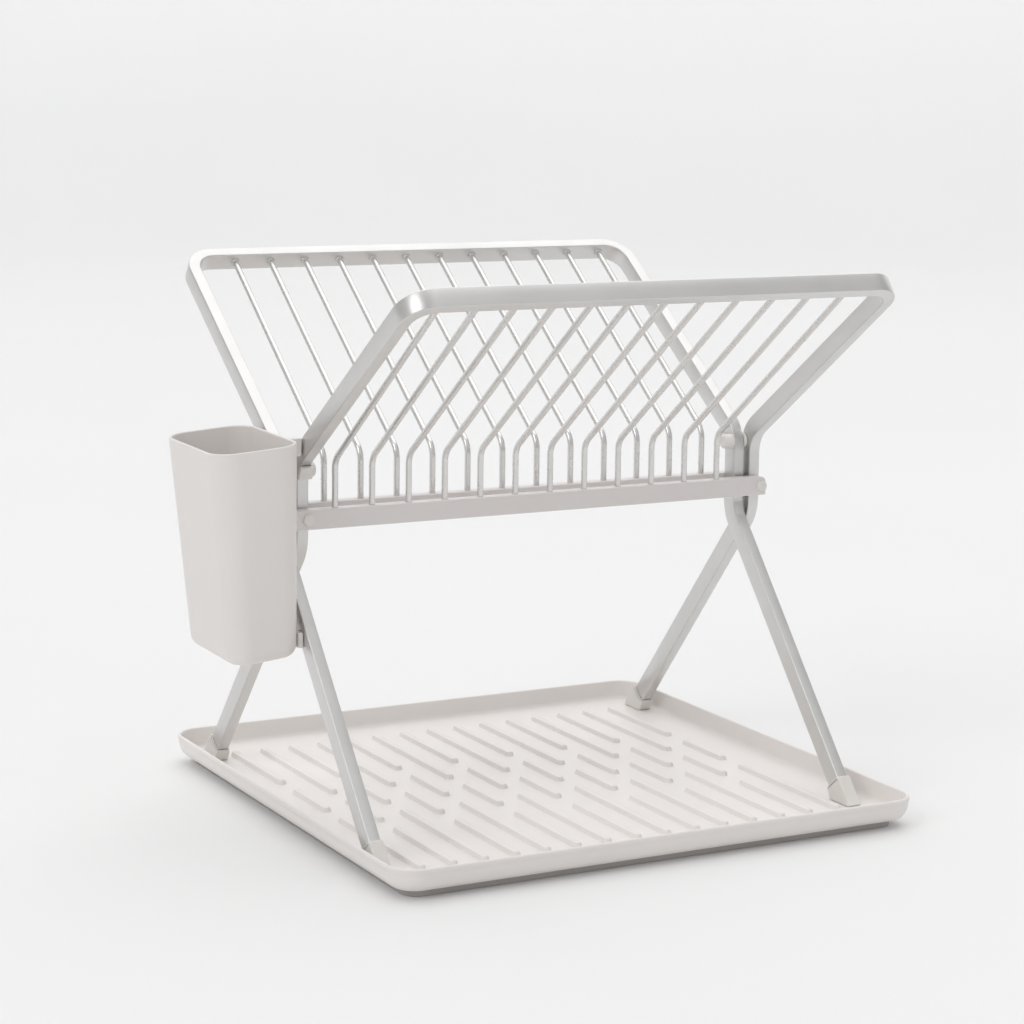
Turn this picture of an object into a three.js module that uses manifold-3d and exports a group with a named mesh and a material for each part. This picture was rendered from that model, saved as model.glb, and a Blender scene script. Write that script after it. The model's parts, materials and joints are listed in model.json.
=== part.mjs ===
// Folding dish drying rack on a drip tray, with a hanging cutlery cup.
// Millimetres, +X to the right, +Y to the back, +Z up, standing on z = 0.
//
// Two identical bent-tube frames cross like scissors. Each one holds a top bar, two arms, two
// posts and two legs, with a crossbar and twelve wires between them. The back set is the front
// set turned half a turn about the vertical, so at each end one tube runs in an outer lane and
// the other in an inner lane, and a pin through both posts joins them.

import * as THREE from 'three';
import { mergeVertices } from 'three/addons/utils/BufferGeometryUtils.js';
import Module from 'manifold-3d';

const wasm = await Module();
wasm.setup();

const DEG = Math.PI / 180;
const GAP = 0.3; // air between neighbouring pieces

// Drip tray
const TRAY_WIDTH = 422;
const TRAY_DEPTH = 419;
const TRAY_CENTRE = { x: 2, y: -9 }; // the rack stands a little behind the tray's middle
const TRAY_HEIGHT = 23;
const TRAY_CORNER = 22;
const RIM_LIP = 1.2; // how far the rim stands out of the wall
const RIM_BAND = 3;
const TRAY_WALL = 2;
const TRAY_OUTER_ROUND = { inward: 9, up: 11 };
const TRAY_INNER_ROUND = 3.5;
const RING_HEIGHT = 5.1;
const RING_INSET = 13;
const RING_WIDTH = 8;
const TRAY_UNDERSIDE = RING_HEIGHT + GAP;
const TRAY_FLOOR = 7.7;

// Ribs on the tray floor: columns across, each with three ribs from back to front
const RIB_PITCH = 24.3;
const RIB_COLUMNS = 15;
const RIB_TOP_WIDTH = 4;
const RIB_HEIGHT = 3.5;
const RIB_FOOT_SPREAD = 2;
const RIB_BACK = 171;
const RIB_FRONT = -167;
const RIB_BREAK = 22; // gap between one rib and the next
const RIB_MIDDLE_LENGTH = 60;
const RIB_FIRST_LENGTH = { even: 99, odd: 139 };
const RIB_FIELD_X = -2;

// Frame tube
const TUBE_THICK = 9; // across, along X in arms and legs
const TUBE_WIDE = 14.5;
const TUBE_WALL = 1.2;
const TUBE_EDGE = 1.3;
const LANE_OUTER = 197.3; // tube centre at the end where the frame runs outside
const LANE_INNER = 185.7;
const BEND_RADIUS = 28;
const CORNER_RADIUS = 19.5;
const BEND_STEPS = 5;

// Frame side profile, given for the front set
const SOLE = TRAY_FLOOR + GAP;
const LEG_ANGLE = 40.3 * DEG; // from vertical
const FOOT_Y = 163.3; // where the leg's centre line meets the sole
const LEG_END = 10; // the tube stops this far up the leg, inside its foot
const POST_Y = -2;
const LOWER_BEND = SOLE + (FOOT_Y - POST_Y) / Math.tan(LEG_ANGLE);
const ARM_ANGLE = 35.5 * DEG; // from horizontal
const TOP_BAR = { y: -185.5, z: 395.1 };
const UPPER_BEND = TOP_BAR.z + (TOP_BAR.y - POST_Y) * Math.tan(ARM_ANGLE);

// Pivot
const PIVOT_Z = 258;
const PIN_RADIUS = 3;
const PIN_HEAD = { radius: 5.5, thick: 1.9 };
const WASHER_RADIUS = 6;
const BOSS = { radius: 6, length: 7.8, floor: 1.8 };
const CLIP_LIP = 2.6;
const CLIP_PLATE = 1.2;
const CLIP_HALF_HEIGHT = 5;
const CLIP_PLAY = 0.4;

// Crossbar
const BAR_TOP = 231.6;
const BAR_HEIGHT = 14.4;
const BAR_FRONT = -19.4;
const BAR_BACK = POST_Y - TUBE_WIDE / 2 - GAP;
const BAR_HALF_LENGTH = LANE_OUTER + TUBE_THICK / 2;
const BAR_CORNER = 4.5;
const RIVET = { radius: 4.2, head: 1.6, shank: 2 };

// Plate wires
const WIRE_COUNT = 12;
const WIRE_RADIUS = 2.3;
const WIRE_PITCH = 29.25;
const WIRE_FIRST_X = -163;
const WIRE_Y = (BAR_FRONT + BAR_BACK) / 2;
const WIRE_BEND_Z = 266;
const WIRE_BEND_RADIUS = 14;
const WIRE_SINK = 8; // depth of the lower end in the crossbar
const WIRE_REACH = 3; // the upper end passes the top bar's wall by this
const WIRE_SIDES = 10;

// Foot
const FOOT_THICK = 10.8;
const FOOT_SIDE_WALL = 1.65;
const SOCKET_PLAY = 0.25;

// Cutlery cup
const CUP_INNER_X = -205; // wall next to the frame
const CUP_OUTER_X = -271;
const CUP_FRONT_Y = -58;
const CUP_BACK_Y = 48;
const CUP_TOP = 287;
const CUP_BOTTOM = 136;
const CUP_CORNER = 19;
const CUP_ROUND = 8; // bottom edge
const CUP_WALL = 2.2;
const CUP_TAPER = { outer: 14, front: 3, back: 8 }; // how much narrower at the bottom
const CUP_LEAN = { outer: 5, front: 1.5 }; // how much lower each side's rim hangs
const HOOK = { play: 0.3, wall: 2.8, drop: 5 };

// The whole object's middle, measured from the pivots' middle
const MIDDLE_X = (TRAY_CENTRE.x + TRAY_WIDTH / 2 + CUP_OUTER_X) / 2;

// ---- solids -------------------------------------------------------------

function toSolid(geometry) {
  const bare = geometry.clone();
  bare.deleteAttribute('normal');
  bare.deleteAttribute('uv');
  const merged = mergeVertices(bare, 1e-4);
  const vertProperties = new Float32Array(merged.attributes.position.array);
  const triVerts = new Uint32Array(merged.index.array);
  return new wasm.Manifold(new wasm.Mesh({ numProp: 3, vertProperties, triVerts }));
}

function toGeometry(solid) {
  const mesh = solid.getMesh();
  const geometry = new THREE.BufferGeometry();
  geometry.setAttribute('position', new THREE.BufferAttribute(mesh.vertProperties, 3));
  geometry.setIndex(new THREE.BufferAttribute(mesh.triVerts, 1));
  geometry.computeVertexNormals();
  return geometry;
}

function joined(base, ...others) {
  const solid = others.reduce((sum, other) => sum.add(toSolid(other)), toSolid(base));
  return toGeometry(solid);
}

function cut(base, cutters) {
  const solid = cutters.reduce((rest, cutter) => rest.subtract(toSolid(cutter)), toSolid(base));
  return toGeometry(solid);
}

function block(low, high) {
  const size = high.map((value, i) => value - low[i]);
  const middle = high.map((value, i) => (value + low[i]) / 2);
  return new THREE.BoxGeometry(...size).translate(...middle);
}

function rodX(radius, x0, x1, y, z, sides = 20) {
  const rod = new THREE.CylinderGeometry(radius, radius, Math.abs(x1 - x0), sides);
  return rod.rotateZ(Math.PI / 2).translate((x0 + x1) / 2, y, z);
}

function rodY(radius, y0, y1, x, z, sides = 16) {
  const rod = new THREE.CylinderGeometry(radius, radius, Math.abs(y1 - y0), sides);
  return rod.translate(x, (y0 + y1) / 2, z);
}

function roundedRect(width, height, radius, steps = 3) {
  const x = width / 2;
  const y = height / 2;
  const corners = [[x - radius, y - radius], [radius - x, y - radius],
    [radius - x, radius - y], [x - radius, radius - y]];
  const points = corners.flatMap(([cx, cy], quarter) =>
    Array.from({ length: steps + 1 }, (_, i) => {
      const angle = (quarter + i / steps) * Math.PI / 2;
      return new THREE.Vector2(cx + radius * Math.cos(angle), cy + radius * Math.sin(angle));
    }));
  return new THREE.Shape(points);
}

// A slab with a rounded-rectangle outline whose lower edge curves in by round.inward
// over a height of round.up.
function dish(width, depth, corner, bottom, top, round, steps = 5) {
  const inner = roundedRect(width - 2 * round.inward, depth - 2 * round.inward,
    corner - round.inward, steps);
  const slab = new THREE.ExtrudeGeometry(inner, {
    depth: top - bottom, bevelEnabled: true, bevelSegments: 4,
    bevelSize: round.inward, bevelThickness: round.up,
  });
  slab.translate(0, 0, bottom + round.up);
  const above = block([-width, -depth, top], [width, depth, top + 4 * round.up]);
  return cut(slab, [above]);
}

// A path through given points, with one extrusion step at each of them.
class BentPath extends THREE.Curve {
  constructor(points) {
    super();
    this.points = points;
  }

  getPoint(t, target = new THREE.Vector3()) {
    const place = t * (this.points.length - 1);
    const i = Math.min(Math.floor(place), this.points.length - 2);
    return target.lerpVectors(this.points[i], this.points[i + 1], place - i);
  }

  getPointAt(u, target) {
    return this.getPoint(u, target);
  }

  getTangentAt(u, target = new THREE.Vector3()) {
    const last = this.points.length - 1;
    const i = Math.round(u * last);
    const before = this.direction(Math.max(i - 1, 0));
    const after = this.direction(Math.min(i, last - 1));
    return target.addVectors(before, after).normalize();
  }

  direction(i) {
    return new THREE.Vector3().subVectors(this.points[i + 1], this.points[i]).normalize();
  }
}

// Rounds the inner corners of a line of points; each corner has its own radius.
function filleted(corners, radii, steps) {
  const points = [corners[0]];
  for (let i = 1; i < corners.length - 1; i += 1) {
    const into = new THREE.Vector3().subVectors(corners[i], corners[i - 1]).normalize();
    const out = new THREE.Vector3().subVectors(corners[i + 1], corners[i]).normalize();
    const turn = into.angleTo(out);
    const radius = radii[i - 1];
    const start = corners[i].clone().addScaledVector(into, -radius * Math.tan(turn / 2));
    const inward = new THREE.Vector3().subVectors(out, into).normalize();
    const centre = corners[i].clone().addScaledVector(inward, radius / Math.cos(turn / 2));
    const spoke = new THREE.Vector3().subVectors(start, centre);
    for (let step = 0; step <= steps; step += 1) {
      const angle = turn * step / steps;
      points.push(centre.clone().addScaledVector(spoke, Math.cos(angle))
        .addScaledVector(into, radius * Math.sin(angle)));
    }
  }
  points.push(corners[corners.length - 1]);
  return points;
}

function sweep(shape, points) {
  const path = new BentPath(points);
  return new THREE.ExtrudeGeometry(shape, { extrudePath: path, steps: points.length - 1 });
}

// ---- materials ----------------------------------------------------------

const makers = {
  aluminium: () => new THREE.MeshStandardMaterial(
    { color: 0xc6c6c4, roughness: 0.42, metalness: 0.85 }),
  steel: () => new THREE.MeshStandardMaterial({ color: 0xbdbdbb, roughness: 0.3, metalness: 1 }),
  plastic: () => new THREE.MeshStandardMaterial({ color: 0xe2ddd9, roughness: 0.5, metalness: 0 }),
  barPlastic: () => new THREE.MeshStandardMaterial(
    { color: 0xcfcaca, roughness: 0.5, metalness: 0.1 }),
  footPlastic: () => new THREE.MeshStandardMaterial(
    { color: 0xd2cfc8, roughness: 0.55, metalness: 0 }),
  ringRubber: () => new THREE.MeshStandardMaterial(
    { color: 0xaaa7a3, roughness: 0.8, metalness: 0 }),
};

function piece(name, geometry, material) {
  const mesh = new THREE.Mesh(geometry, makers[material]());
  mesh.name = name;
  return mesh;
}

// ---- drip tray ----------------------------------------------------------

function ribStretches(column) {
  const first = column % 2 === 0 ? RIB_FIRST_LENGTH.even : RIB_FIRST_LENGTH.odd;
  const firstEnd = RIB_BACK - first;
  const middleStart = firstEnd - RIB_BREAK;
  const middleEnd = middleStart - RIB_MIDDLE_LENGTH;
  return [[RIB_BACK, firstEnd], [middleStart, middleEnd], [middleEnd - RIB_BREAK, RIB_FRONT]];
}

function rib(x, back, front) {
  const outline = roundedRect(RIB_TOP_WIDTH, back - front - 2 * RIB_FOOT_SPREAD,
    RIB_TOP_WIDTH / 2 - 0.01, 2);
  const ridge = new THREE.ExtrudeGeometry(outline, {
    depth: 1, bevelEnabled: true, bevelSegments: 1,
    bevelSize: RIB_FOOT_SPREAD, bevelThickness: RIB_HEIGHT,
  });
  // The widest section lies at the floor; what is below it stays inside the floor.
  ridge.translate(x, (back + front) / 2, TRAY_FLOOR - 1);
  const below = block([x - 10, front - 10, -20], [x + 10, back + 10, TRAY_FLOOR - 0.5]);
  return cut(ridge, [below]);
}

function tray() {
  const wallWidth = TRAY_WIDTH - 2 * RIM_LIP;
  const wallDepth = TRAY_DEPTH - 2 * RIM_LIP;
  const body = dish(wallWidth, wallDepth, TRAY_CORNER - RIM_LIP, TRAY_UNDERSIDE, TRAY_HEIGHT,
    TRAY_OUTER_ROUND);
  const rim = new THREE.ExtrudeGeometry(roundedRect(TRAY_WIDTH, TRAY_DEPTH, TRAY_CORNER, 5),
    { depth: RIM_BAND, bevelEnabled: false });
  rim.translate(0, 0, TRAY_HEIGHT - RIM_BAND);
  const hollow = dish(wallWidth - 2 * TRAY_WALL, wallDepth - 2 * TRAY_WALL,
    TRAY_CORNER - RIM_LIP - TRAY_WALL, TRAY_FLOOR, TRAY_HEIGHT + 1,
    { inward: TRAY_INNER_ROUND, up: TRAY_INNER_ROUND });
  const ribs = [];
  for (let column = 0; column < RIB_COLUMNS; column += 1) {
    const x = RIB_FIELD_X + (column - (RIB_COLUMNS - 1) / 2) * RIB_PITCH;
    ribStretches(column).forEach(([back, front]) => ribs.push(rib(x, back, front)));
  }
  const shell = cut(joined(body, rim), [hollow]);
  return joined(shell, ...ribs);
}

function trayRing() {
  const outline = roundedRect(TRAY_WIDTH - 2 * RING_INSET, TRAY_DEPTH - 2 * RING_INSET,
    TRAY_CORNER - RING_INSET + 4, 4);
  const inset = RING_INSET + RING_WIDTH;
  const middle = roundedRect(TRAY_WIDTH - 2 * inset, TRAY_DEPTH - 2 * inset, 4, 3);
  outline.holes.push(middle);
  return new THREE.ExtrudeGeometry(outline, { depth: RING_HEIGHT, bevelEnabled: false });
}

// ---- one rack frame, in the front set's place ---------------------------

const at = (x, y, z) => new THREE.Vector3(x, y, z);
const legPoint = (distance) => ({
  y: FOOT_Y - distance * Math.sin(LEG_ANGLE),
  z: SOLE + distance * Math.cos(LEG_ANGLE),
});
const wireXs = Array.from({ length: WIRE_COUNT }, (_, i) => WIRE_FIRST_X + i * WIRE_PITCH);

const wireRun = (() => {
  const wallInner = {
    y: TOP_BAR.y + Math.cos(ARM_ANGLE) * TUBE_THICK / 2,
    z: TOP_BAR.z - Math.sin(ARM_ANGLE) * TUBE_THICK / 2,
  };
  const slope = new THREE.Vector2(wallInner.y - WIRE_Y, wallInner.z - WIRE_BEND_Z).normalize();
  return { wallInner, slope };
})();

function wireHoleInTopBar(x) {
  const { wallInner, slope } = wireRun;
  const hole = new THREE.CylinderGeometry(WIRE_RADIUS + GAP, WIRE_RADIUS + GAP, 8, WIRE_SIDES);
  hole.rotateX(Math.atan2(slope.y, slope.x));
  return hole.translate(x, wallInner.y - slope.x, wallInner.z - slope.y);
}

function frameTube() {
  const section = roundedRect(TUBE_THICK, TUBE_WIDE, TUBE_EDGE, 2);
  section.holes.push(roundedRect(TUBE_THICK - 2 * TUBE_WALL, TUBE_WIDE - 2 * TUBE_WALL, 0.3, 1));
  const foot = legPoint(LEG_END);
  const half = (x) => [at(x, foot.y, foot.z), at(x, POST_Y, LOWER_BEND),
    at(x, POST_Y, UPPER_BEND), at(x, TOP_BAR.y, TOP_BAR.z)];
  const corners = [...half(-LANE_INNER), ...half(LANE_OUTER).reverse()];
  const radii = [BEND_RADIUS, BEND_RADIUS, CORNER_RADIUS, CORNER_RADIUS, BEND_RADIUS, BEND_RADIUS];
  const tube = sweep(section, filleted(corners, radii, BEND_STEPS));

  const pinHoles = [-LANE_INNER, LANE_OUTER].map((x) =>
    rodX(PIN_RADIUS + GAP, x - TUBE_THICK, x + TUBE_THICK, 0, PIVOT_Z));
  const rivetHoles = [-LANE_INNER, LANE_OUTER].map((x) =>
    rodY(RIVET.shank + GAP, BAR_BACK - 2, POST_Y, x, BAR_TOP - BAR_HEIGHT / 2));
  return cut(tube, [...pinHoles, ...rivetHoles, ...wireXs.map(wireHoleInTopBar)]);
}

function crossbar() {
  const shape = new THREE.Shape();
  const low = BAR_TOP - BAR_HEIGHT;
  const corner = { x: BAR_HALF_LENGTH - BAR_CORNER, z: BAR_TOP - BAR_CORNER };
  shape.moveTo(-BAR_HALF_LENGTH, low);
  shape.lineTo(BAR_HALF_LENGTH, low);
  shape.absarc(corner.x, corner.z, BAR_CORNER, 0, Math.PI / 2);
  shape.absarc(-corner.x, corner.z, BAR_CORNER, Math.PI / 2, Math.PI);
  const bar = new THREE.ExtrudeGeometry(shape,
    { depth: BAR_BACK - BAR_FRONT, bevelEnabled: false, curveSegments: 5 });
  bar.rotateX(Math.PI / 2).translate(0, BAR_BACK, 0);
  const wireHoles = wireXs.map((x) => {
    const hole = new THREE.CylinderGeometry(WIRE_RADIUS + GAP, WIRE_RADIUS + GAP,
      2 * WIRE_SINK + 2 * GAP, WIRE_SIDES);
    return hole.rotateX(Math.PI / 2).translate(x, WIRE_Y, BAR_TOP);
  });
  const rivetHoles = [-LANE_INNER, LANE_OUTER].map((x) =>
    rodY(RIVET.shank + GAP, BAR_FRONT - 1, BAR_BACK + 1, x, BAR_TOP - BAR_HEIGHT / 2));
  return cut(bar, [...wireHoles, ...rivetHoles]);
}

function wire(x) {
  const { wallInner, slope } = wireRun;
  const corners = [
    at(x, WIRE_Y, BAR_TOP - WIRE_SINK),
    at(x, WIRE_Y, WIRE_BEND_Z),
    at(x, wallInner.y + slope.x * WIRE_REACH, wallInner.z + slope.y * WIRE_REACH),
  ];
  const ring = Array.from({ length: WIRE_SIDES }, (_, i) => {
    const angle = i / WIRE_SIDES * 2 * Math.PI;
    return new THREE.Vector2(WIRE_RADIUS * Math.cos(angle), WIRE_RADIUS * Math.sin(angle));
  });
  return sweep(new THREE.Shape(ring), filleted(corners, [WIRE_BEND_RADIUS], 4));
}

function rivet(x) {
  const z = BAR_TOP - BAR_HEIGHT / 2;
  const face = BAR_FRONT - GAP;
  const head = rodY(RIVET.radius, face - RIVET.head, face, x, z, 20);
  const shank = rodY(RIVET.shank, face - 0.5, POST_Y - TUBE_WIDE / 2 + TUBE_WALL + 2, x, z, 12);
  return joined(head, shank);
}

function footCap(x) {
  const side = TUBE_WIDE / 2 + FOOT_SIDE_WALL;
  const offAxis = (distance, away) => {
    const point = legPoint(distance);
    return [point.y + away * Math.cos(LEG_ANGLE), point.z + away * Math.sin(LEG_ANGLE)];
  };
  const profile = new THREE.Shape([
    offAxis(18, side), // outer corner of the open end
    offAxis(-6, side),
    [FOOT_Y + 10.2, SOLE],
    [FOOT_Y - 14.3, SOLE],
    [FOOT_Y - 14.8, SOLE + 1.2],
    offAxis(18, -side), // inner corner of the open end
  ].map(([y, z]) => new THREE.Vector2(y, z)));
  const edge = 0.8;
  const body = new THREE.ExtrudeGeometry(profile, {
    depth: FOOT_THICK - 2 * edge, bevelEnabled: true, bevelSegments: 1,
    bevelSize: edge, bevelThickness: edge, bevelOffset: -edge,
  });
  // The profile's plane turns from XY to YZ, and its extrusion from Z to X.
  body.translate(0, 0, edge - FOOT_THICK / 2).rotateY(Math.PI / 2).rotateX(Math.PI / 2);
  body.translate(x, 0, 0);
  const length = 60;
  const middle = legPoint(LEG_END - SOCKET_PLAY + length / 2);
  const play = 2 * SOCKET_PLAY;
  const socket = new THREE.BoxGeometry(TUBE_THICK + play, TUBE_WIDE + play, length);
  socket.rotateX(LEG_ANGLE).translate(x, middle.y, middle.z);
  return cut(body, [socket]);
}

function pivotClip() {
  const face = -LANE_INNER + TUBE_THICK / 2 + GAP;
  // The lip wraps the front of the tube, so it follows the inside of the upper bend.
  const turn = Math.PI / 2 - ARM_ANGLE;
  const centreY = POST_Y - BEND_RADIUS;
  const centreZ = UPPER_BEND - BEND_RADIUS * Math.tan(turn / 2);
  const lipBack = BEND_RADIUS - TUBE_WIDE / 2 - CLIP_PLAY;
  const lipFront = lipBack - CLIP_LIP;
  const low = Math.asin((PIVOT_Z - CLIP_HALF_HEIGHT - centreZ) / lipBack);
  const high = Math.asin((PIVOT_Z + CLIP_HALF_HEIGHT - centreZ) / lipBack);
  const wrap = new THREE.Shape();
  wrap.absarc(centreY, centreZ, lipBack, low, high);
  wrap.absarc(centreY, centreZ, lipFront, high, low, true);
  const lip = new THREE.ExtrudeGeometry(wrap,
    { depth: TUBE_THICK + GAP + CLIP_PLATE, bevelEnabled: false, curveSegments: 4 });
  lip.rotateY(Math.PI / 2).rotateX(Math.PI / 2);
  lip.translate(-LANE_INNER - TUBE_THICK / 2, 0, 0);
  const plate = block(
    [face, centreY + lipFront * Math.cos(high), PIVOT_Z - CLIP_HALF_HEIGHT],
    [face + CLIP_PLATE, BOSS.radius - 1, PIVOT_Z + CLIP_HALF_HEIGHT]);
  const boss = rodX(BOSS.radius, face, face + BOSS.length, 0, PIVOT_Z, 24);
  const bore = rodX(PIN_RADIUS + GAP, face - 1, face + BOSS.length - BOSS.floor, 0, PIVOT_Z);
  return cut(joined(plate, lip, boss), [bore]);
}

// ---- pins ---------------------------------------------------------------

function pivotPin() {
  const outerFace = -LANE_OUTER - TUBE_THICK / 2 - GAP;
  const tip = -LANE_INNER + TUBE_THICK / 2 + BOSS.length - BOSS.floor - GAP;
  const head = rodX(PIN_HEAD.radius, outerFace - PIN_HEAD.thick, outerFace, 0, PIVOT_Z, 24);
  const shank = rodX(PIN_RADIUS, outerFace - 1, tip, 0, PIVOT_Z);
  return joined(head, shank);
}

function pivotWasher() {
  const x0 = -LANE_OUTER + TUBE_THICK / 2 + GAP;
  const x1 = -LANE_INNER - TUBE_THICK / 2 - GAP;
  const disc = rodX(WASHER_RADIUS, x0, x1, 0, PIVOT_Z, 24);
  return cut(disc, [rodX(PIN_RADIUS + GAP, x0 - 1, x1 + 1, 0, PIVOT_Z)]);
}

// ---- cutlery cup --------------------------------------------------------

function cupSlab(margin, bottom, top) {
  const width = CUP_INNER_X - CUP_OUTER_X - 2 * margin;
  const depth = CUP_BACK_Y - CUP_FRONT_Y - 2 * margin;
  const round = CUP_ROUND - margin;
  const slab = dish(width, depth, CUP_CORNER - margin, bottom, top,
    { inward: round, up: round });
  slab.translate((CUP_INNER_X + CUP_OUTER_X) / 2, (CUP_FRONT_Y + CUP_BACK_Y) / 2, 0);
  return tapered(slab);
}

// Draws the walls in towards the bottom and lets the outer side hang a little lower;
// the wall next to the frame stays upright.
function tapered(slab) {
  const { position } = slab.attributes;
  for (let i = 0; i < position.count; i += 1) {
    const fall = (CUP_TOP - position.getZ(i)) / (CUP_TOP - CUP_BOTTOM);
    const outward = (CUP_INNER_X - position.getX(i)) / (CUP_INNER_X - CUP_OUTER_X);
    const backward = (position.getY(i) - CUP_FRONT_Y) / (CUP_BACK_Y - CUP_FRONT_Y);
    const shiftY = CUP_TAPER.front * (1 - backward) - CUP_TAPER.back * backward;
    position.setX(i, position.getX(i) + fall * outward * CUP_TAPER.outer);
    position.setY(i, position.getY(i) + fall * shiftY);
    const drop = CUP_LEAN.outer * outward + CUP_LEAN.front * (1 - backward);
    position.setZ(i, position.getZ(i) - drop);
  }
  return slab;
}

function cup() {
  const shell = cut(cupSlab(0, CUP_BOTTOM, CUP_TOP),
    [cupSlab(CUP_WALL, CUP_BOTTOM + CUP_WALL, CUP_TOP + 1)]);
  const root = CUP_INNER_X - 1;
  const reach = -LANE_OUTER - TUBE_THICK / 2 - 0.4;

  const hookInner = PIN_HEAD.radius + HOOK.play;
  const hookOuter = hookInner + HOOK.wall;
  const arch = new THREE.Shape();
  arch.moveTo(hookOuter, -HOOK.drop);
  arch.absarc(0, 0, hookOuter, 0, Math.PI);
  arch.lineTo(-hookOuter, -HOOK.drop);
  arch.lineTo(-hookInner, -HOOK.drop);
  arch.absarc(0, 0, hookInner, Math.PI, 0, true);
  arch.lineTo(hookInner, -HOOK.drop);
  const hook = new THREE.ExtrudeGeometry(arch,
    { depth: reach - root, bevelEnabled: false, curveSegments: 12 });
  hook.rotateY(Math.PI / 2).rotateX(Math.PI / 2).translate(root, 0, PIVOT_Z);

  const laneFace = -LANE_INNER - TUBE_THICK / 2 - 0.6;
  const lug = block([root, -20, 271], [laneFace, -12.5, CUP_TOP - 3]);
  const spacer = block([root, -48, 139], [reach, -36, 150]);
  return joined(shell, hook, lug, spacer);
}

// ---- assembly -----------------------------------------------------------

const number = (i) => String(i + 1).padStart(2, '0');

function rackSet(names) {
  const set = new THREE.Group();
  set.add(piece(`${names.set}_frame`, frameTube(), 'aluminium'));
  set.add(piece(`${names.set}_crossbar`, crossbar(), 'barPlastic'));
  wireXs.forEach((x, i) => {
    set.add(piece(`${names.set}_wire_${number(i)}`, wire(x), 'steel'));
  });
  set.add(piece(`${names.set}_${names.innerSide}_rivet`, rivet(-LANE_INNER), 'barPlastic'));
  set.add(piece(`${names.set}_${names.outerSide}_rivet`, rivet(LANE_OUTER), 'barPlastic'));
  set.add(piece(`${names.legs}_${names.innerSide}_foot`, footCap(-LANE_INNER), 'footPlastic'));
  set.add(piece(`${names.legs}_${names.outerSide}_foot`, footCap(LANE_OUTER), 'footPlastic'));
  set.add(piece(`${names.innerSide}_pivot_clip`, pivotClip(), 'footPlastic'));
  set.add(piece(`${names.innerSide}_pivot_pin`, pivotPin(), 'steel'));
  set.add(piece(`${names.innerSide}_pivot_washer`, pivotWasher(), 'footPlastic'));
  return set;
}

const frontSet = rackSet(
  { set: 'front', legs: 'back', innerSide: 'left', outerSide: 'right' });
const backSet = rackSet(
  { set: 'back', legs: 'front', innerSide: 'right', outerSide: 'left' });
backSet.rotation.z = Math.PI;

const rack = new THREE.Group();
const trayGroup = new THREE.Group();
trayGroup.add(piece('drip_tray', tray(), 'plastic'));
trayGroup.add(piece('tray_foot_ring', trayRing(), 'ringRubber'));
trayGroup.position.set(TRAY_CENTRE.x, TRAY_CENTRE.y, 0);
rack.add(trayGroup);
rack.add(frontSet, backSet);
rack.add(piece('cutlery_cup', cup(), 'plastic'));
rack.position.set(-MIDDLE_X, -TRAY_CENTRE.y, 0);

export default rack;
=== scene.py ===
"""Folding dish drying rack on its drip tray, with a hanging cutlery cup: the visible model.

Metres, in the CAD model's frame. The two rack sets are alike: every piece of a set is made in the
front set's place and the back set is the same pieces turned half a turn about the vertical.
"""

import json
from math import acos, atan2, cos, pi, radians, sin, sqrt, tan

import bmesh
import bpy
from mathutils import Euler, Matrix, Vector


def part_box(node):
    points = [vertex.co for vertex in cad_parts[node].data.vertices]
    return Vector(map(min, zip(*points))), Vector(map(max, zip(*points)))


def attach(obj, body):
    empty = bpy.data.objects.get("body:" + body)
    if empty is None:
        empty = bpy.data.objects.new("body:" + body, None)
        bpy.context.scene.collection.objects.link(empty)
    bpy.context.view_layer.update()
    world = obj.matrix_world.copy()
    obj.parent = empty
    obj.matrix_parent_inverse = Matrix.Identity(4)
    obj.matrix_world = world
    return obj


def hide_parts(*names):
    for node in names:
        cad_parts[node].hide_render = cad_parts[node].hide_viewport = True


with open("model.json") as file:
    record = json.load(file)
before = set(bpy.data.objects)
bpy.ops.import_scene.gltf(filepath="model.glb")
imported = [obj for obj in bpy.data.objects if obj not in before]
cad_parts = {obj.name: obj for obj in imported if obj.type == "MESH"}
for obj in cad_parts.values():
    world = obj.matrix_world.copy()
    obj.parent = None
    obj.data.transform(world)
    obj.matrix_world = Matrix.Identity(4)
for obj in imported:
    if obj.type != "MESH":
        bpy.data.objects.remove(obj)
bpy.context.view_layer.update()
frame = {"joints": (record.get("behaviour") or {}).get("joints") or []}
MM = 0.001

# ---- driving dimensions, read from the CAD where it states them ------------

joints = {joint["name"]: joint for joint in frame["joints"]}
PIVOT = Vector(joints["front_frame_fold"]["pos_m"])
tube_low, tube_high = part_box("front_frame")
bar_low, bar_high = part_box("front_crossbar")
wire_low, wire_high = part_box("front_wire_01")
tray_low, tray_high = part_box("drip_tray")
ring_low, ring_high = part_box("tray_foot_ring")
cup_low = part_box("cutlery_cup")[0]
clip_low, clip_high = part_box("left_pivot_clip")
foot_low, foot_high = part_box("back_left_foot")

TUBE_THICK = 9.0 * MM
TUBE_WIDE = 14.5 * MM
TUBE_EDGE = 0.9 * MM
LANE_INNER = tube_low.x + TUBE_THICK / 2
LANE_OUTER = tube_high.x - TUBE_THICK / 2
POST_Y = PIVOT.y - 2.0 * MM
ARM_ANGLE = radians(35.5)
LEG_ANGLE = radians(40.3)
SOLE = foot_low.z
FOOT_Y = PIVOT.y + 163.3 * MM
LOWER_BEND = SOLE + (FOOT_Y - POST_Y) / tan(LEG_ANGLE)
TOP_Y = PIVOT.y - 185.5 * MM
TOP_Z = 394.9 * MM
UPPER_BEND = TOP_Z + (TOP_Y - POST_Y) * tan(ARM_ANGLE)
BEND_RADIUS = 28.0 * MM
CORNER_RADIUS = 19.5 * MM

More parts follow.
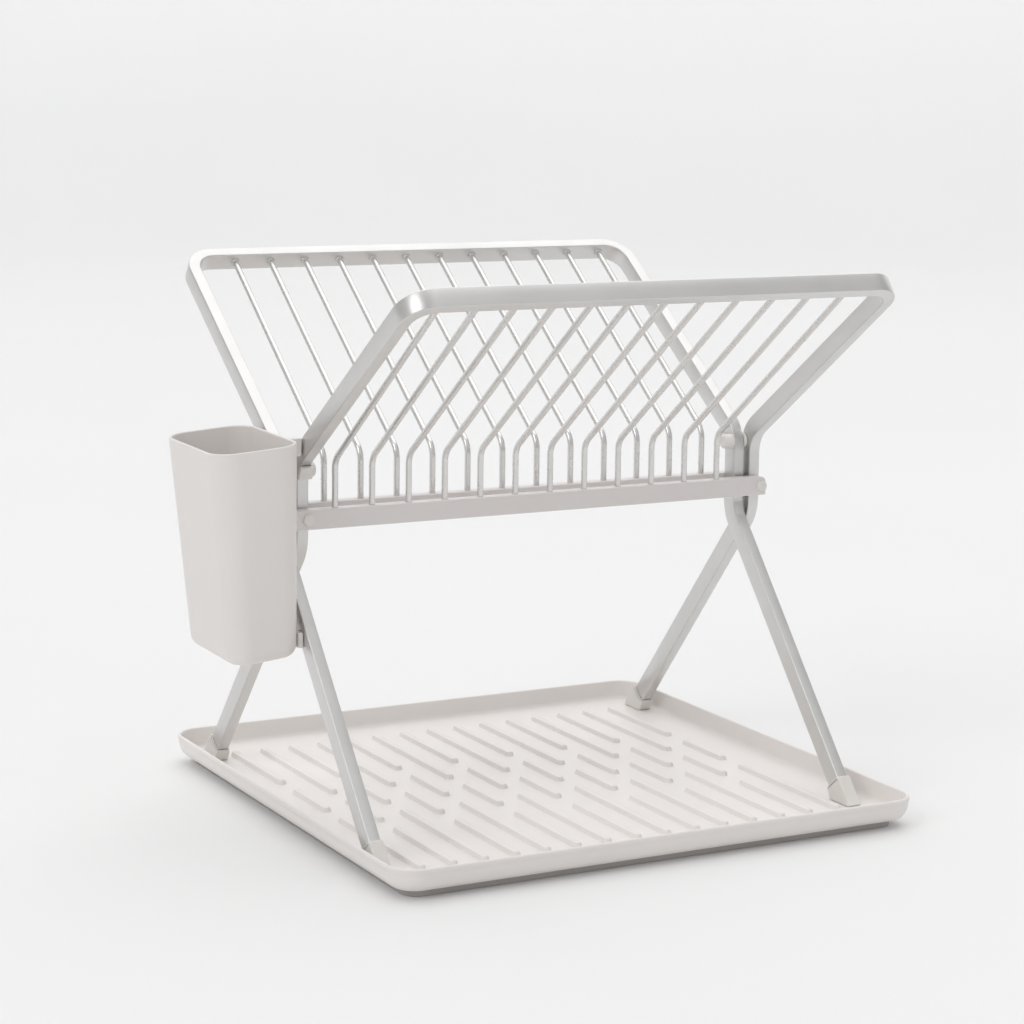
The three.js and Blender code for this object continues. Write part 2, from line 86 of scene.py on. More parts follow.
WIRE_RADIUS = 2.3 * MM
WIRE_PITCH = 29.25 * MM
WIRE_COUNT = 12
WIRE_FIRST_X = (wire_low.x + wire_high.x) / 2
WIRE_Y = (bar_low.y + bar_high.y) / 2
WIRE_BEND_Z = 266.0 * MM
WIRE_BEND_RADIUS = 14.0 * MM

FLOOR_Z = SOLE - 0.3 * MM
RIB_PITCH = 24.3 * MM
RIB_COLUMNS = 15
RIB_WIDTH = 8.0 * MM
RIB_HEIGHT = 3.5 * MM
RIB_BACK = 171.0 * MM
RIB_FRONT = -167.0 * MM
RIB_BREAK = 22.0 * MM
RIB_MIDDLE = 60.0 * MM
RIB_FIRST = (99.0 * MM, 139.0 * MM)

CUP_WALL = 2.2 * MM
CUP_CORNER = 19.0 * MM
CUP_ROUND = 8.0 * MM
CUP_FRONT_Y = PIVOT.y - 58.0 * MM
CUP_BACK_Y = PIVOT.y + 48.0 * MM
CUP_INNER_X = PIVOT.x - 205.0 * MM
CUP_TOP = 287.0 * MM
CUP_BOTTOM = 136.0 * MM


# ---- materials -------------------------------------------------------------


class Nodes:
    """A new material with its node tree and short ways to add nodes to it."""

    def __init__(self, name):
        self.material = bpy.data.materials.new(name)
        self.material.use_nodes = True
        self.tree = self.material.node_tree
        self.shader = self.tree.nodes["Principled BSDF"]
        self.coords = self.tree.nodes.new("ShaderNodeTexCoord").outputs["Object"]

    def link(self, output, socket):
        self.tree.links.new(output, socket)

    def noise(self, scale, detail=3.0, stretch=(1, 1, 1)):
        mapping = self.tree.nodes.new("ShaderNodeMapping")
        mapping.inputs["Scale"].default_value = stretch
        self.link(self.coords, mapping.inputs["Vector"])
        node = self.tree.nodes.new("ShaderNodeTexNoise")
        node.inputs["Scale"].default_value = scale
        node.inputs["Detail"].default_value = detail
        self.link(mapping.outputs["Vector"], node.inputs["Vector"])
        return node.outputs["Fac"]

    def ranged(self, value, low, high):
        node = self.tree.nodes.new("ShaderNodeMapRange")
        node.inputs["From Min"].default_value = 0.3
        node.inputs["From Max"].default_value = 0.7
        node.inputs["To Min"].default_value = low
        node.inputs["To Max"].default_value = high
        self.link(value, node.inputs["Value"])
        return node.outputs["Result"]

    def mixed(self, value, first, second):
        node = self.tree.nodes.new("ShaderNodeMix")
        node.data_type = "RGBA"
        node.inputs["A"].default_value = (*first, 1.0)
        node.inputs["B"].default_value = (*second, 1.0)
        self.link(self.ranged(value, 0.0, 1.0), node.inputs["Factor"])
        return node.outputs["Result"]

    def bump(self, height, strength, distance):
        node = self.tree.nodes.new("ShaderNodeBump")
        node.inputs["Strength"].default_value = strength
        node.inputs["Distance"].default_value = distance
        self.link(height, node.inputs["Height"])
        self.link(node.outputs["Normal"], self.shader.inputs["Normal"])


def darker(colour, share):
    return tuple(channel * share for channel in colour)


def moulded(name, colour, roughness, grain=900.0, depth=0.05 * MM):
    """Moulded plastic: a fine spark-eroded grain, faint flow marks and an uneven gloss."""
    nodes = Nodes(name)
    flow = nodes.noise(9.0, 2.0, (1.0, 0.4, 1.0))
    nodes.link(nodes.mixed(flow, darker(colour, 0.965), colour), nodes.shader.inputs["Base Color"])
    gloss = nodes.noise(60.0, 4.0)
    rough = nodes.ranged(gloss, roughness - 0.05, roughness + 0.06)
    nodes.link(rough, nodes.shader.inputs["Roughness"])
    nodes.bump(nodes.noise(grain, 2.0), 0.22, depth)
    nodes.shader.inputs["Specular IOR Level"].default_value = 0.42
    return nodes.material


def satin_metal(name, colour, roughness, metallic, stretch=(1, 1, 1)):
    """Anodised or brushed metal: fine grain in colour, gloss and height."""
    nodes = Nodes(name)
    grain = nodes.noise(2600.0, 2.0, stretch)
    cloud = nodes.noise(18.0, 3.0)
    nodes.link(nodes.mixed(cloud, darker(colour, 0.94), colour), nodes.shader.inputs["Base Color"])
    rough = nodes.ranged(nodes.noise(90.0, 3.0), roughness - 0.03, roughness + 0.04)
    nodes.link(rough, nodes.shader.inputs["Roughness"])
    nodes.bump(grain, 0.02, 0.004 * MM)
    nodes.shader.inputs["Metallic"].default_value = metallic
    return nodes.material


TRAY_PLASTIC = moulded("tray_plastic", (0.850, 0.815, 0.790), 0.42)
CUP_PLASTIC = moulded("cup_plastic", (0.820, 0.785, 0.760), 0.46)
BAR_PLASTIC = moulded("crossbar_plastic", (0.760, 0.725, 0.715), 0.40)
FOOT_PLASTIC = moulded("foot_plastic", (0.790, 0.765, 0.730), 0.46)
# The foot strip's dark grey is partly its own grey and partly painted shade, the shade that falls
# under the tray's rim.
RING_GREY_AND_SHADE = moulded("foot_ring_grey_and_painted_shade", (0.480, 0.455, 0.440), 0.75, 500.0, 0.12 * MM)
SATIN_ALUMINIUM = satin_metal("satin_aluminium", (0.700, 0.694, 0.684), 0.33, 0.82)
WIRE_METAL = satin_metal("wire_metal", (0.760, 0.750, 0.738), 0.26, 0.85)
PIN_METAL = satin_metal("pin_metal", (0.560, 0.555, 0.540), 0.30, 0.90)


# ---- mesh tools ------------------------------------------------------------


def finish_mesh(name, mesh_data, material, smooth_angle=35.0):
    """An object from a bmesh, with outward normals and smooth shading below an angle."""
    bmesh.ops.recalc_face_normals(mesh_data, faces=mesh_data.faces)
    for face in mesh_data.faces:
        face.smooth = True
    for edge in mesh_data.edges:
        if edge.is_manifold and edge.calc_face_angle(0.0) > radians(smooth_angle):
            edge.smooth = False
    mesh = bpy.data.meshes.new(name)
    mesh_data.to_mesh(mesh)
    mesh_data.free()
    mesh.materials.append(material)
    piece = bpy.data.objects.new(name, mesh)
    bpy.context.scene.collection.objects.link(piece)
    return piece


def rounded_edges(piece, width, segments=3, angle=30.0):
    """Rounds a piece's sharp edges for good."""
    for edge in piece.data.edges:
        edge.use_edge_sharp = False
    bevel = piece.modifiers.new("round", "BEVEL")
    bevel.width = width
    bevel.segments = segments
    bevel.limit_method = "ANGLE"
    bevel.angle_limit = radians(angle)
    bevel.harden_normals = True
    apply_modifiers(piece)
    return piece


def apply_modifiers(piece):
    depsgraph = bpy.context.evaluated_depsgraph_get()
    mesh = bpy.data.meshes.new_from_object(piece.evaluated_get(depsgraph))
    old = piece.data
    piece.modifiers.clear()
    piece.data = mesh
    bpy.data.meshes.remove(old)


def join(name, pieces):
    """One object of several with the same material."""
    mesh_data = bmesh.new()
    material = pieces[0].data.materials[0]
    for piece in pieces:
        piece.data.transform(piece.matrix_world)
        mesh_data.from_mesh(piece.data)
        bpy.data.objects.remove(piece)
    mesh = bpy.data.meshes.new(name)
    mesh_data.to_mesh(mesh)
    mesh_data.free()
    mesh.materials.append(material)
    joined = bpy.data.objects.new(name, mesh)
    bpy.context.scene.collection.objects.link(joined)
    return joined


def skin(mesh_data, rings, close_start=True, close_end=True):
    """Faces between rings of points; the ends are closed by a face each."""
    made = [[mesh_data.verts.new(point) for point in ring] for ring in rings]
    for low, high in zip(made, made[1:]):
        count = len(low)
        for i in range(count):
            j = (i + 1) % count
            mesh_data.faces.new((low[i], low[j], high[j], high[i]))
    if close_start:
        mesh_data.faces.new(list(reversed(made[0])))
    if close_end:
        mesh_data.faces.new(made[-1])
    return made


def rounded_rect(width, depth, radius, steps=10):
    """Points round a rectangle centred on the origin, with round corners."""
    points = []
    signs = ((1, 1), (-1, 1), (-1, -1), (1, -1))
    for quarter, (sx, sy) in enumerate(signs):
        for i in range(steps + 1):
            angle = (quarter + i / steps) * pi / 2
            points.append((sx * (width / 2 - radius) + radius * cos(angle),
                           sy * (depth / 2 - radius) + radius * sin(angle)))
    return points


def filleted(corners, radii, steps):
    """The corners of a line rounded to arcs, each with its own radius."""
    points = [corners[0]]
    for before, corner, after, radius in zip(corners, corners[1:], corners[2:], radii):
        into = (corner - before).normalized()
        out = (after - corner).normalized()
        turn = into.angle(out)
        start = corner - into * (radius * tan(turn / 2))
        centre = corner + (out - into).normalized() * (radius / cos(turn / 2))
        spoke = start - centre
        for step in range(steps + 1):
            angle = turn * step / steps
            points.append(centre + spoke * cos(angle) + into * (radius * sin(angle)))
    points.append(corners[-1])
    return points


def swept(name, section, points, material, side=Vector((1, 0, 0)), smooth_angle=35.0):
    """A closed section carried along a line; the section's first axis starts along side."""
    rings = []
    across = side
    for i, point in enumerate(points):
        before = points[max(i - 1, 0)]
        after = points[min(i + 1, len(points) - 1)]
        into = (point - before).normalized() if i else (after - point).normalized()
        out = (after - point).normalized() if i < len(points) - 1 else into
        tangent = (into + out).normalized()
        across = (across - tangent * across.dot(tangent)).normalized()
        up = tangent.cross(across)
        rings.append([point + across * x + up * y for x, y in section])
    mesh_data = bmesh.new()
    skin(mesh_data, rings)
    return finish_mesh(name, mesh_data, material, smooth_angle)


def turned(name, profile, origin, axis, material, steps=48):
    """A body of revolution; profile holds (distance along the axis, radius)."""
    axis = Vector(axis).normalized()
    first = axis.orthogonal().normalized()
    second = axis.cross(first)
    rings = []
    for along, radius in profile:
        ring = []
        for i in range(steps):
            angle = 2 * pi * i / steps
            spoke = first * cos(angle) + second * sin(angle)
            ring.append(Vector(origin) + axis * along + spoke * radius)
        rings.append(ring)
    mesh_data = bmesh.new()
    skin(mesh_data, rings)
    return finish_mesh(name, mesh_data, material, 40.0)


def slab(name, outline, x0, x1, material):
    """An outline of (y, z) points, extruded along X."""
    mesh_data = bmesh.new()
    skin(mesh_data, [[Vector((x, y, z)) for y, z in outline] for x in (x0, x1)])
    return finish_mesh(name, mesh_data, material)


def brick(name, low, high, material):
    outline = [(low[1], low[2]), (high[1], low[2]), (high[1], high[2]), (low[1], high[2])]
    return slab(name, outline, low[0], high[0], material)


# ---- drip tray -------------------------------------------------------------


def ring_at(centre, width, depth, radius, z):
    return [Vector((centre.x + x, centre.y + y, z))
            for x, y in rounded_rect(width, depth, radius)]


def tray_centre():
    return (tray_low + tray_high) / 2


def tray_profile():
    """(inset from the rim, height) from the underside round the rim and down to the floor."""
    top = tray_high.z
    bottom = tray_low.z
    points = []
    lower = 9.6 * MM
    rise = 11.5 * MM
    for i in range(9):
        angle = pi / 2 * i / 8
        points.append((10.6 * MM - lower * sin(angle), bottom + rise * (1 - cos(angle))))
    points += [(0.7 * MM, top - 4.2 * MM), (0.25 * MM, top - 3.6 * MM)]
    lip = 1.35 * MM
    for i in range(9):
        angle = pi * i / 8
        points.append((lip - lip * cos(angle), top - lip + lip * sin(angle)))
    points.append((3.0 * MM, FLOOR_Z + 5.5 * MM))
    fillet = 3.6 * MM
    for i in range(1, 7):
        angle = pi / 2 * i / 6
        points.append((3.1 * MM + fillet * (1 - cos(angle)), FLOOR_Z + fillet * (1 - sin(angle))))
    return points


def tray_rib(mesh_data, x, back, front):
    """A low ridge with round ends, straight steep sides and a flat top."""
    middle = (back + front) / 2
    rings = []
    for share, lift in ((0.0, 0.0), (0.14, 0.05), (0.24, 0.16), (0.70, 0.84), (0.82, 0.96),
                        (1.0, 1.0)):
        inset = share * RIB_WIDTH * 0.22
        height = RIB_HEIGHT * lift
        width = RIB_WIDTH - 2 * inset
        depth = back - front - 2 * inset
        outline = rounded_rect(width, depth, width / 2 - 0.01 * MM, 6)
        z = FLOOR_Z - 0.15 * MM + height
        rings.append([Vector((x + px, middle + py, z)) for px, py in outline])
    skin(mesh_data, rings)


def drip_tray():
    centre = tray_centre()
    width = tray_high.x - tray_low.x
    depth = tray_high.y - tray_low.y
    corner = 22.0 * MM
    rings = []
    for inset, z in tray_profile():
        radius = max(corner - inset, 6.0 * MM)
        rings.append(ring_at(centre, width - 2 * inset, depth - 2 * inset, radius, z))
    mesh_data = bmesh.new()
    skin(mesh_data, rings)
    for column in range(RIB_COLUMNS):
        x = PIVOT.x + (column - (RIB_COLUMNS - 1) / 2) * RIB_PITCH
        back = centre.y + RIB_BACK
        first = back - RIB_FIRST[column % 2]
        middle = first - RIB_BREAK
        last = middle - RIB_MIDDLE - RIB_BREAK
        tray_rib(mesh_data, x, back, first)
        tray_rib(mesh_data, x, middle, middle - RIB_MIDDLE)
        tray_rib(mesh_data, x, last, centre.y + RIB_FRONT)
    piece = finish_mesh("tray_shell", mesh_data, TRAY_PLASTIC, 50.0)
    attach(piece, "tray")
    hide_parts("drip_tray")


def foot_ring():
    centre = tray_centre()
    width = ring_high.x - ring_low.x
    depth = ring_high.y - ring_low.y
    edge = 0.9 * MM
    band = 8.0 * MM
    top = tray_low.z + 0.05 * MM
    profile = [(edge, 0.0), (0.3 * MM, 0.25 * MM), (0.0, edge), (0.0, top), (band, top),
               (band, edge), (band - edge, 0.0)]
    mesh_data = bmesh.new()
    rings = [ring_at(centre, width - 2 * inset, depth - 2 * inset, 12.5 * MM - inset, z)
             for inset, z in profile]
    rings.append(rings[0])
    made = skin(mesh_data, rings, False, False)
    bmesh.ops.remove_doubles(mesh_data, verts=made[0] + made[-1], dist=1e-6)
    # The strip's material holds its own grey and also painted shade of the tray's underside.
    piece = finish_mesh("tray_foot_strip", mesh_data, RING_GREY_AND_SHADE)
    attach(piece, "tray")
    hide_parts("tray_foot_ring")


# ---- one rack set, made in the front set's place ---------------------------

HALF_TURN = (Matrix.Translation(PIVOT) @ Matrix.Rotation(pi, 4, "Z")
             @ Matrix.Translation(-PIVOT))
LEG_BACK = Vector((0, cos(LEG_ANGLE), sin(LEG_ANGLE)))
LEG_UP = Vector((0, -sin(LEG_ANGLE), cos(LEG_ANGLE)))


def leg_point(x, along, away=0.0):
    """A point of the leg: along it from where its centre line meets the sole, and off it."""
    return Vector((x, FOOT_Y, SOLE)) + LEG_UP * along + LEG_BACK * away


def wire_line(x):
    """The wire's three corners and its upper run's direction."""
    wall = Vector((x, TOP_Y + cos(ARM_ANGLE) * TUBE_THICK / 2,
                   TOP_Z - sin(ARM_ANGLE) * TUBE_THICK / 2))
    bend = Vector((x, WIRE_Y, WIRE_BEND_Z))
    run = (wall - bend).normalized()
    return Vector((x, WIRE_Y, bar_high.z - 7.0 * MM)), bend, wall, run


def wire_xs():
    return [WIRE_FIRST_X + i * WIRE_PITCH for i in range(WIRE_COUNT)]


def frame_tube():
    def half(x):
        return [leg_point(x, 10 * MM), Vector((x, POST_Y, LOWER_BEND)),
                Vector((x, POST_Y, UPPER_BEND)), Vector((x, TOP_Y, TOP_Z))]

    corners = half(LANE_INNER) + half(LANE_OUTER)[::-1]
    radii = (BEND_RADIUS, BEND_RADIUS, CORNER_RADIUS, CORNER_RADIUS, BEND_RADIUS, BEND_RADIUS)
    section = rounded_rect(TUBE_THICK, TUBE_WIDE, TUBE_EDGE, 4)
    return swept("tube", section, filleted(corners, radii, 14), SATIN_ALUMINIUM)


def wire_collars():
    """The small swaged collars where the wires enter the top bar."""
    collars = []
    for x in wire_xs():
        _, _, wall, run = wire_line(x)
        profile = [(-1.5 * MM, 2.4 * MM), (-1.5 * MM, 3.0 * MM), (-0.9 * MM, 3.4 * MM),
                   (0.8 * MM, 3.5 * MM), (0.8 * MM, 2.4 * MM)]
        collars.append(turned("collar", profile, wall, run, SATIN_ALUMINIUM, 24))
    return join("wire_collars", collars)


def wire(x):
    start, bend, wall, run = wire_line(x)
    section = [(WIRE_RADIUS * cos(2 * pi * i / 16), WIRE_RADIUS * sin(2 * pi * i / 16))
               for i in range(16)]
    line = filleted([start, bend, wall + run * 2.5 * MM], [WIRE_BEND_RADIUS], 12)
    return swept("wire", section, line, WIRE_METAL, Vector((1, 0, 0)), 60.0)


def crossbar():
    """The bar, with its top end corners rounded and a shallow step round each wire."""
    corner = 4.5 * MM
    outline = [(bar_low.x, bar_low.z), (bar_high.x, bar_low.z)]
    for i in range(9):
        angle = pi / 2 * i / 8
        outline.append((bar_high.x - corner * (1 - cos(angle)),
                        bar_high.z - corner * (1 - sin(angle))))
    for i in range(9):
        angle = pi / 2 * i / 8
        outline.append((bar_low.x + corner * (1 - sin(angle)),
                        bar_high.z - corner * (1 - cos(angle))))
    mesh_data = bmesh.new()
    rings = [[Vector((x, y, z)) for x, z in outline] for y in (bar_low.y, bar_high.y)]
    skin(mesh_data, rings)
    piece = rounded_edges(finish_mesh("bar", mesh_data, BAR_PLASTIC), 1.0 * MM, 4)
    sleeves = []
    for x in wire_xs():
        profile = [(-1.0 * MM, 2.4 * MM), (-1.0 * MM, 3.5 * MM), (-0.35 * MM, 3.5 * MM),
                   (-0.05 * MM, 3.2 * MM), (-0.05 * MM, 2.4 * MM)]
        origin = (x, WIRE_Y, bar_high.z)
        sleeves.append(turned("sleeve", profile, origin, (0, 0, 1), BAR_PLASTIC, 24))
    return join("crossbar", [piece, *sleeves])


def rivet(node):
    low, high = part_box(node)
    x = (low.x + high.x) / 2
    z = (low.z + high.z) / 2
    depth = bar_low.y - low.y
    radius = (high.x - low.x) / 2
    profile = [(0.0, radius), (depth * 0.72, radius), (depth * 0.92, radius * 0.96),
               (depth, radius * 0.86), (depth * 0.97, radius * 0.3)]
    return turned("rivet", profile, (x, bar_low.y, z), (0, -1, 0), FOOT_PLASTIC, 40)


def foot_cap(x):
    """A sleeve cut square at its open end and flat at the floor, with a thin lip round the leg."""
    side = TUBE_WIDE / 2 + 1.65 * MM
    half = (foot_high.x - foot_low.x) / 2

    def off(along, away):
        point = leg_point(x, along, away)
        return point.y, point.z

    outline = [off(18 * MM, side), off(-6 * MM, side), (FOOT_Y + 10.2 * MM, SOLE),
               (FOOT_Y - 14.3 * MM, SOLE), (FOOT_Y - 14.8 * MM, SOLE + 1.2 * MM),
               off(18 * MM, -side)]
    body = rounded_edges(slab("sleeve", outline, x - half, x + half, FOOT_PLASTIC), 0.8 * MM, 3)
    rings = []
    for grow, along in ((1.0 * MM, 16.8), (1.0 * MM, 18.0), (0.8 * MM, 18.4), (0.3 * MM, 18.4),
                        (0.15 * MM, 18.1), (0.1 * MM, 16.8)):
        section = rounded_rect(TUBE_THICK + 2 * grow * 0.9, TUBE_WIDE + 2 * grow * 1.4,
                               TUBE_EDGE + grow, 4)
        rings.append([leg_point(x + px, along * MM, py) for px, py in section])
    mesh_data = bmesh.new()
    skin(mesh_data, rings)
    lip = finish_mesh("lip", mesh_data, FOOT_PLASTIC, 50.0)
    return join("foot", [body, lip])


def pivot_clip():
    """The clip on the inner tube: a round boss, a plate and a lip that wraps the tube's front."""
    boss_radius = 5.8 * MM
    face = LANE_INNER + TUBE_THICK / 2 + 0.3 * MM
    tip = clip_high.x
    round_end = 2.2 * MM
    profile = [(0.0, boss_radius)]
    for i in range(1, 7):
        angle = pi / 2 * i / 6
        profile.append((tip - face - round_end * (1 - sin(angle)),
                        boss_radius - round_end * (1 - cos(angle))))
    profile.append((tip - face - 0.5 * MM, 2.4 * MM))
    boss = turned("boss", profile, (face, PIVOT.y, PIVOT.z), (1, 0, 0), FOOT_PLASTIC)
    plate_top = PIVOT.z + 5.0 * MM
    plate_low = PIVOT.z - 5.0 * MM
    centre_y = POST_Y - BEND_RADIUS
    centre_z = UPPER_BEND - BEND_RADIUS * tan((pi / 2 - ARM_ANGLE) / 2)
    inner = BEND_RADIUS - TUBE_WIDE / 2 - 0.4 * MM
    outer = inner - 2.6 * MM
    low_angle = atan2(plate_low - centre_z, inner)
    high_angle = acos(sqrt(inner ** 2 - (plate_top - centre_z) ** 2) / inner)
    angles = [low_angle + (high_angle - low_angle) * i / 8 for i in range(9)]
    outline = [(centre_y + inner * cos(a), centre_z + inner * sin(a)) for a in angles]
    outline += [(centre_y + outer * cos(a), centre_z + outer * sin(a)) for a in reversed(angles)]
    lip = slab("wrap", outline, clip_low.x, face + 1.2 * MM, FOOT_PLASTIC)
    sheet = [(centre_y + inner * cos(a), centre_z + inner * sin(a)) for a in angles]
    sheet += [(PIVOT.y + 5.0 * MM, plate_top), (PIVOT.y + 5.0 * MM, plate_low)]
    plate = slab("plate", sheet, face, face + 1.2 * MM, FOOT_PLASTIC)
    return join("clip", [boss, rounded_edges(plate, 0.5 * MM), rounded_edges(lip, 0.7 * MM)])


def pivot_pin(node):
    low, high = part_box(node)
    radius = (high.z - low.z) / 2
    head_face = PIVOT.x - (LANE_OUTER - PIVOT.x) - TUBE_THICK / 2 - 0.05 * MM
    rise = head_face - low.x
    profile = [(0.0, radius), (rise * 0.45, radius), (rise * 0.75, radius * 0.93),
               (rise * 0.93, radius * 0.78), (rise, radius * 0.55), (rise, radius * 0.3)]
    head = turned("head", profile, (head_face, PIVOT.y, PIVOT.z), (-1, 0, 0), PIN_METAL)
    shank = turned("shank", [(0.0, 2.9 * MM), (high.x - head_face, 2.9 * MM)],
                   (head_face, PIVOT.y, PIVOT.z), (1, 0, 0), PIN_METAL)
    return join("pin", [head, shank])


def washer(node):
    low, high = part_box(node)
    radius = (high.z - low.z) / 2
    length = high.x - low.x
    profile = [(0.0, 3.2 * MM), (0.0, radius - 0.4 * MM), (0.4 * MM, radius),
               (length - 0.4 * MM, radius), (length, radius - 0.4 * MM), (length, 3.2 * MM)]
    return turned("washer", profile, (low.x, PIVOT.y, PIVOT.z), (1, 0, 0), FOOT_PLASTIC)


def place(piece, name, node, body, back):
    """Names a piece of a set, turns it to the back set's place if it is one, and hooks it up."""
    piece.name = name
    if back:
        piece.data.transform(HALF_TURN)
    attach(piece, body)
    if node:
        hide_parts(node)


def rack_set(back):
    own = "back" if back else "front"
    legs = "front" if back else "back"
    inner = "right" if back else "left"
    outer = "left" if back else "right"
    body = f"{own}_frame_body"
    place(frame_tube(), f"{own}_bent_tube", f"{own}_frame", body, back)
    place(wire_collars(), f"{own}_wire_collars", None, body, back)
    place(crossbar(), f"{own}_bar", f"{own}_crossbar", body, back)
    for i, x in enumerate(wire_xs(), 1):
        place(wire(x), f"{own}_plate_wire_{i:02d}", f"{own}_wire_{i:02d}", body, back)
    # Boxes are read from the front set's nodes, because every piece is made in its place.
    for end, side in (("left", inner), ("right", outer)):
        place(rivet(f"front_{end}_rivet"), f"{own}_{side}_rivet_head", f"{own}_{side}_rivet",
              body, back)
    for lane, side in ((LANE_INNER, inner), (LANE_OUTER, outer)):
        place(foot_cap(lane), f"{legs}_{side}_foot_cap", f"{legs}_{side}_foot", body,
              back)
    place(pivot_clip(), f"{inner}_pivot_knob", f"{inner}_pivot_clip", body, back)
    place(pivot_pin("left_pivot_pin"), f"{inner}_pivot_rivet", f"{inner}_pivot_pin", "pivot_axle",
          back)
    place(washer("left_pivot_washer"), f"{inner}_spacer_washer", f"{inner}_pivot_washer",
          "pivot_axle", back)


# ---- cutlery cup -----------------------------------------------------------


def cup_point(x, y, z):
    """The cup's taper and lean: walls draw in to the bottom, the outer side hangs lower."""
    fall = (CUP_TOP - z) / (CUP_TOP - CUP_BOTTOM)
    outward = (CUP_INNER_X - x) / (CUP_INNER_X - cup_low.x)
    backward = (y - CUP_FRONT_Y) / (CUP_BACK_Y - CUP_FRONT_Y)
    shift = 3 * MM * (1 - backward) - 8 * MM * backward
    drop = 5 * MM * outward + 1.5 * MM * (1 - backward)
    return Vector((x + fall * outward * 14 * MM, y + fall * shift, z - drop))


def cutlery_cup():
    centre_x = (CUP_INNER_X + cup_low.x) / 2
    centre_y = (CUP_FRONT_Y + CUP_BACK_Y) / 2
    width = CUP_INNER_X - cup_low.x
    depth = CUP_BACK_Y - CUP_FRONT_Y
    lip = CUP_WALL / 2
    profile = []
    for i in range(9):
        angle = pi / 2 * i / 8
        profile.append((CUP_ROUND * (1 - sin(angle)), CUP_BOTTOM + CUP_ROUND * (1 - cos(angle))))
    profile += [(0.0, CUP_BOTTOM + (CUP_TOP - CUP_BOTTOM) * share) for share in (0.3, 0.6, 0.9)]
    for i in range(9):
        angle = pi * i / 8
        profile.append((lip - lip * cos(angle), CUP_TOP - lip + lip * sin(angle)))
    profile += [(CUP_WALL, CUP_BOTTOM + (CUP_TOP - CUP_BOTTOM) * share) for share in (0.9, 0.5)]
    inner = CUP_ROUND - CUP_WALL
    for i in range(7):
        angle = pi / 2 * i / 6
        profile.append((CUP_WALL + inner * (1 - cos(angle)),
                        CUP_BOTTOM + CUP_WALL + inner * (1 - sin(angle))))
    rings = []
    for inset, z in profile:
        outline = rounded_rect(width - 2 * inset, depth - 2 * inset, CUP_CORNER - inset, 12)
        rings.append([cup_point(centre_x + x, centre_y + y, z) for x, y in outline])
    mesh_data = bmesh.new()
    skin(mesh_data, rings)
    shell = finish_mesh("cup_shell", mesh_data, CUP_PLASTIC, 50.0)
    piece = join("cup_body_piece", [shell, *cup_hangers()])
    piece.name = "cup_with_hanger"
    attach(piece, "cup_body")
    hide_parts("cutlery_cup")


def cup_hangers():
    """The half-ring that sits on the pivot's head, the finger behind the arm and the spacer."""
    root = CUP_INNER_X - 1.0 * MM
    reach = PIVOT.x - (tube_high.x - PIVOT.x) - 0.4 * MM
    inner = 5.8 * MM
    outer = 8.6 * MM
    drop = 5.0 * MM
    arch = [(outer * cos(pi * i / 16), outer * sin(pi * i / 16)) for i in range(17)]
    arch = [(outer, -drop), *arch, (-outer, -drop), (-inner, -drop)]
    arch += [(inner * cos(pi * i / 16), inner * sin(pi * i / 16)) for i in range(16, -1, -1)]
    arch.append((inner, -drop))
    outline = [(PIVOT.y + y, PIVOT.z + z) for y, z in arch]
    hook = slab("hook", outline, root, reach, CUP_PLASTIC)
    lug = brick("lug", (root, PIVOT.y - 20 * MM, 271 * MM),
                (PIVOT.x - 191.0 * MM, PIVOT.y - 12.5 * MM, CUP_TOP - 3 * MM), CUP_PLASTIC)
    spacer = brick("spacer", (root, PIVOT.y - 48 * MM, 139 * MM),
                   (reach, PIVOT.y - 36 * MM, 150 * MM), CUP_PLASTIC)
    return [rounded_edges(hook, 0.4 * MM, 2), rounded_edges(lug, 1.0 * MM),
            rounded_edges(spacer, 0.8 * MM)]


# ---- stage -----------------------------------------------------------------


def stage_material():
    """Pale floor that glows a little where it curves up, so that it keeps one tone all over."""
    nodes = Nodes("pale_floor")
    cloud = nodes.noise(1.5, 2.0)
    nodes.link(nodes.mixed(cloud, (0.850, 0.850, 0.850), (0.860, 0.860, 0.860)),
               nodes.shader.inputs["Base Color"])
    nodes.shader.inputs["Roughness"].default_value = 0.9
    nodes.shader.inputs["Emission Color"].default_value = (1.0, 1.0, 1.0, 1.0)
    parts = nodes.tree.nodes.new("ShaderNodeSeparateXYZ")
    nodes.link(nodes.coords, parts.inputs["Vector"])
    rise = nodes.tree.nodes.new("ShaderNodeMapRange")
    rise.inputs["From Max"].default_value = CURVE_RADIUS
    rise.inputs["To Max"].default_value = WALL_GLOW
    nodes.link(parts.outputs["Z"], rise.inputs["Value"])
    nodes.link(rise.outputs["Result"], nodes.shader.inputs["Emission Strength"])
    return nodes.material


FLOOR_REACH = 8.0
FLOOR_DEPTH = 5.0
CURVE_RADIUS = 2.0
WALL_GLOW = 0.41


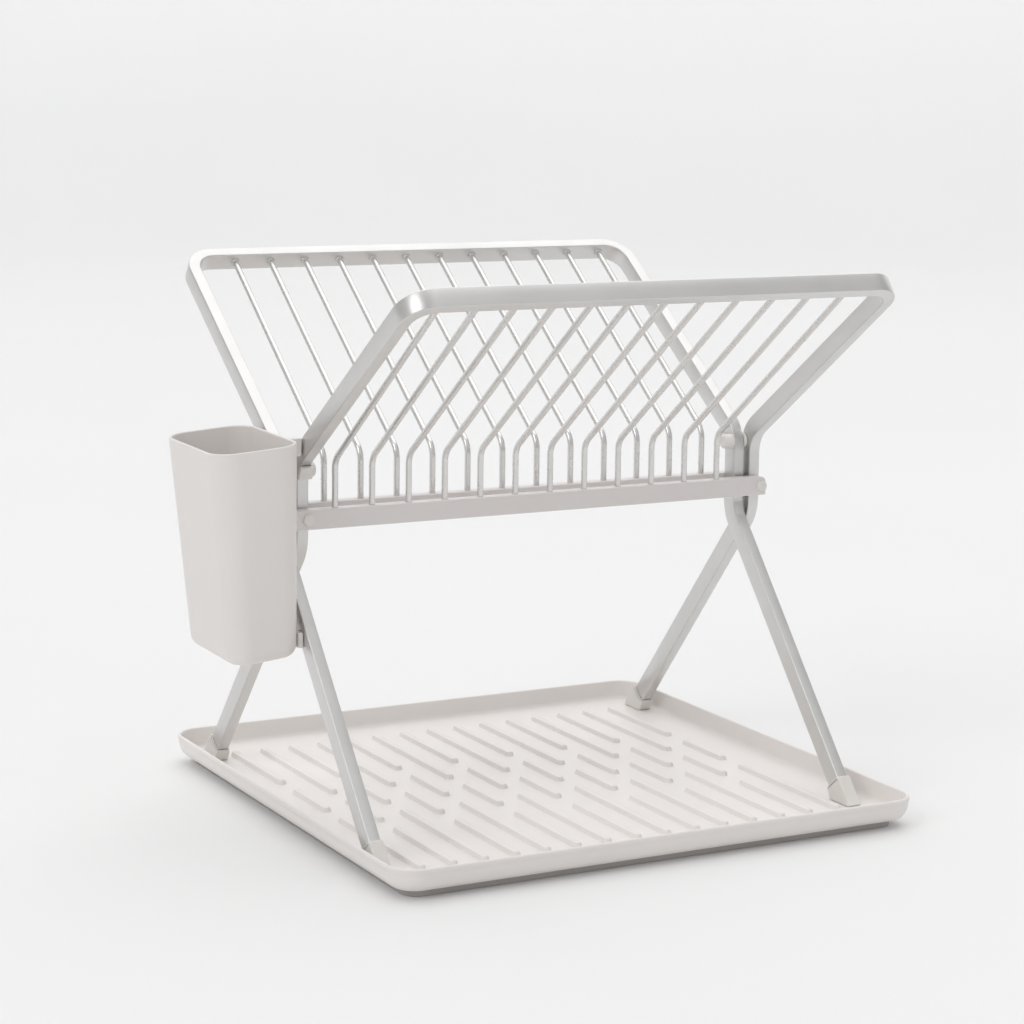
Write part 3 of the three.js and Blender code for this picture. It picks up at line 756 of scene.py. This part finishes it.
def sweep_backdrop():
    """A pale floor that curves up into a wall far behind, square to the camera."""
    line = [(-FLOOR_REACH, 0.0)]
    for i in range(17):
        angle = pi / 2 * i / 16
        line.append((FLOOR_DEPTH + CURVE_RADIUS * sin(angle), CURVE_RADIUS * (1 - cos(angle))))
    line.append((FLOOR_DEPTH + CURVE_RADIUS, 7.0))
    mesh_data = bmesh.new()
    rows = [[mesh_data.verts.new((x, y, z)) for y, z in line]
            for x in (-FLOOR_REACH, FLOOR_REACH)]
    for i in range(len(line) - 1):
        mesh_data.faces.new((rows[0][i], rows[1][i], rows[1][i + 1], rows[0][i + 1]))
    backdrop = finish_mesh("pale_sweep", mesh_data, stage_material())
    backdrop.data.transform(Matrix.Rotation(-CAMERA_YAW, 4, "Z"))


def soft_sun(name, from_direction, angle, strength):
    data = bpy.data.lights.new(name, "SUN")
    data.angle = radians(angle)
    data.energy = strength
    light = bpy.data.objects.new(name, data)
    light.rotation_euler = (-Vector(from_direction)).to_track_quat("-Z", "Y").to_euler()
    bpy.context.scene.collection.objects.link(light)


def lights():
    soft_sun("overhead", (0.15, 0.35, 1.0), 75.0, 1.34)
    soft_sun("left_window", (-1.0, -0.25, 0.75), 34.0, 0.60)
    soft_sun("front_fill", (0.25, -0.85, 0.80), 50.0, 0.17)
    world = bpy.data.worlds.new("studio")
    world.use_nodes = True
    background = world.node_tree.nodes["Background"]
    background.inputs["Color"].default_value = (1.0, 1.0, 1.0, 1.0)
    background.inputs["Strength"].default_value = 0.48
    bpy.context.scene.world = world
    bpy.context.scene.view_settings.view_transform = "Standard"


CAMERA_YAW = radians(28.094)
CAMERA_PITCH = radians(9.709)
CAMERA_ROLL = radians(-0.692)


def camera():
    data = bpy.data.cameras.new("view")
    data.lens = 94.79
    data.sensor_width = 36.0
    eye = bpy.data.objects.new("view", data)
    look = Euler((pi / 2 - CAMERA_PITCH, 0.0, -CAMERA_YAW)).to_matrix()
    look = look @ Matrix.Rotation(-CAMERA_ROLL, 3, "Z")
    eye.rotation_euler = look.to_euler()
    eye.location = (PIVOT.x - 947.5 * MM, PIVOT.y - 1753.4 * MM, 555.4 * MM)
    bpy.context.scene.collection.objects.link(eye)
    bpy.context.scene.camera = eye


camera()
lights()
sweep_backdrop()
drip_tray()
foot_ring()
rack_set(back=False)
rack_set(back=True)
cutlery_cup()
